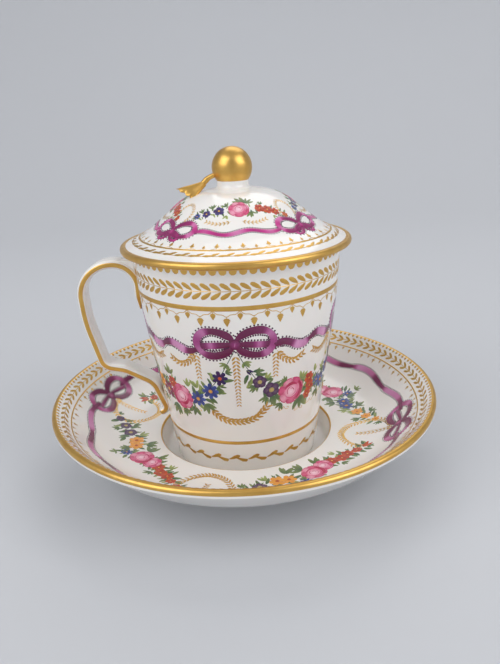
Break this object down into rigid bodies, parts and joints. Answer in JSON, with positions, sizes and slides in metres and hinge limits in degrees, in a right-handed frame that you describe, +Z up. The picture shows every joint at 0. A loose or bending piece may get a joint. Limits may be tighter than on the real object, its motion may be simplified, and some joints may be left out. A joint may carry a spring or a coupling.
{
  "type": "covered cup and saucer",
  "caption": "Gilded porcelain covered cup with strap handle and ball-finial lid, standing in the deep well of its dished saucer.",
  "frame": {"origin": "on the common axis of saucer, cup and lid, at the bottom of the saucer's foot ring", "axes": "+Z up along the axis, the cup's handle points to -X, the picture is taken from -Y"},
  "size_m": [0.15, 0.15, 0.1222],
  "materials": {
    "saucer_porcelain": "glossy glaze, gilt and painted",
    "cup_porcelain": "glossy glaze, gilt and painted",
    "lid_porcelain": "glossy glaze, gilt and painted"
  },
  "bodies": {
    "root": {"saucer": "saucer_porcelain", "cup": "cup_porcelain", "lid": "lid_porcelain"}
  },
  "joints": []
}
